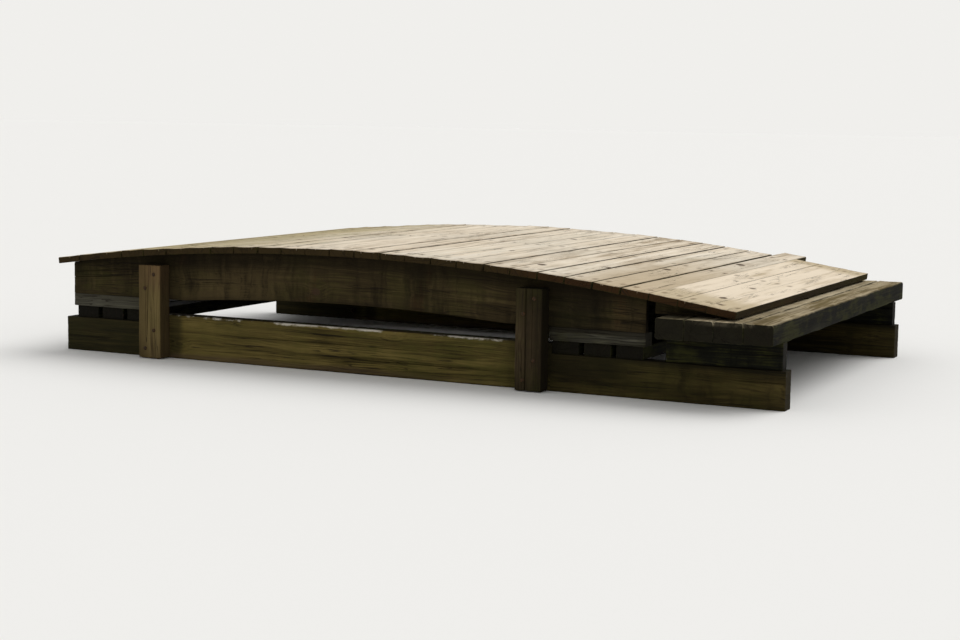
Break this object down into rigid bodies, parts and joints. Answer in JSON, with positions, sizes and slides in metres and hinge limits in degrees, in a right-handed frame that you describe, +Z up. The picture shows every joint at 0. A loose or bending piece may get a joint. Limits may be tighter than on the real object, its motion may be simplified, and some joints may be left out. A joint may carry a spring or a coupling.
{
  "type": "wooden footbridge",
  "caption": "Low bowed timber footbridge without railings: cross planks on arched stringers over straight lower beams, with side posts and a short landing.",
  "frame": {"origin": "middle of the outline, on the level of the lower beams' undersides", "axes": "+X along the span towards the landing, +Y across the deck away from the pictured side, +Z up"},
  "size_m": [4.1078, 2.725, 0.6454],
  "materials": {
    "deck_wood": "matte",
    "stringer_wood": "matte",
    "beam_wood": "matte",
    "post_wood_brown": "matte",
    "post_wood_grey": "matte",
    "sole_wood": "matte",
    "packer_wood": "matte",
    "sleeper_wood": "matte"
  },
  "bodies": {
    "root": {"deck_plank_01": "deck_wood", "deck_plank_02": "deck_wood", "deck_plank_03": "deck_wood", "deck_plank_04": "deck_wood", "deck_plank_05": "deck_wood", "deck_plank_06": "deck_wood", "deck_plank_07": "deck_wood", "deck_plank_08": "deck_wood", "deck_plank_09": "deck_wood", "deck_plank_10": "deck_wood", "deck_plank_11": "deck_wood", "deck_plank_12": "deck_wood", "deck_plank_13": "deck_wood", "deck_plank_14": "deck_wood", "deck_plank_15": "deck_wood", "deck_plank_16": "deck_wood", "deck_plank_17": "deck_wood", "deck_plank_18": "deck_wood", "deck_plank_19": "deck_wood", "deck_plank_20": "deck_wood", "deck_plank_21": "deck_wood", "deck_plank_22": "deck_wood", "deck_plank_23": "deck_wood", "deck_plank_24": "deck_wood", "deck_plank_25": "deck_wood", "deck_plank_26": "deck_wood", "deck_plank_27": "deck_wood", "stringer_near": "stringer_wood", "stringer_middle": "stringer_wood", "stringer_far": "stringer_wood", "lower_beam_near": "beam_wood", "lower_beam_far": "beam_wood", "post_near_left": "post_wood_brown", "post_far_left": "post_wood_brown", "post_near_right": "post_wood_grey", "post_far_right": "post_wood_grey", "sole_planks_left": "sole_wood", "sole_planks_right": "sole_wood", "packers_left": "packer_wood", "packers_right": "packer_wood", "crib_block_near": "sole_wood", "crib_block_far": "sole_wood", "landing_sleepers": "sleeper_wood", "landing_wedges": "stringer_wood"}
  },
  "joints": []
}
